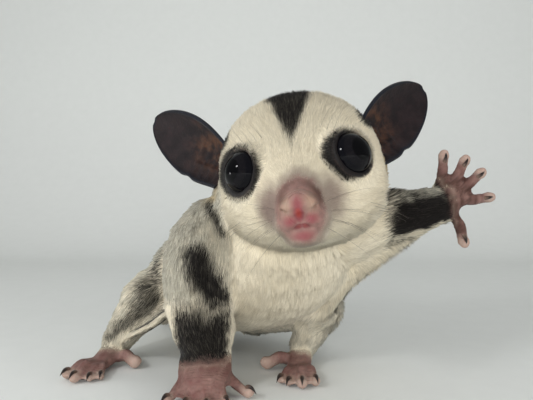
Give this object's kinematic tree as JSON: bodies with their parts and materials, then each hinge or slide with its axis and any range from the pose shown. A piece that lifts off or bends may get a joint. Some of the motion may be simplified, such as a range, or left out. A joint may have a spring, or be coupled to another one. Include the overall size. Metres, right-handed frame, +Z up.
{
  "type": "sugar glider",
  "caption": "Still, life-size young sugar glider sitting up, leaning on one hand and reaching sideways with the other, its gliding membrane stretched and its tail laid behind.",
  "frame": {"origin": "on the floor, under the middle of the animal's whole box", "axes": "+Z up, -Y the way the face looks, +X to the animal's left, where its raised hand points"},
  "size_m": [0.1012, 0.135, 0.0709],
  "materials": {
    "cream_coat": "short soft fur, cream",
    "grey_coat": "short soft fur, grey-brown",
    "dark_coat": "short soft fur, brown-black",
    "bare_skin": "soft pink bare skin",
    "nose_skin": "moist pink bare skin",
    "ear_skin": "thin dark skin with a soft sheen",
    "eye": "wet, glossy black"
  },
  "bodies": {
    "root": {"head": "cream_coat", "lower_jaw": "cream_coat", "nose": "nose_skin", "eye_left": "eye", "eye_right": "eye", "ear_left": "ear_skin", "ear_right": "ear_skin", "neck": "grey_coat", "chest": "cream_coat", "belly": "grey_coat", "rump": "grey_coat", "upper_arm_left": "grey_coat", "upper_arm_right": "grey_coat", "forearm_left": "dark_coat", "forearm_right": "dark_coat", "hand_left": "bare_skin", "hand_right": "bare_skin", "thigh_left": "grey_coat", "thigh_right": "grey_coat", "shank_left": "grey_coat", "shank_right": "grey_coat", "foot_left": "bare_skin", "foot_right": "bare_skin", "membrane_left": "cream_coat", "membrane_right": "dark_coat", "tail_1": "grey_coat", "tail_2": "grey_coat", "tail_3": "grey_coat", "tail_4": "dark_coat"}
  },
  "joints": []
}
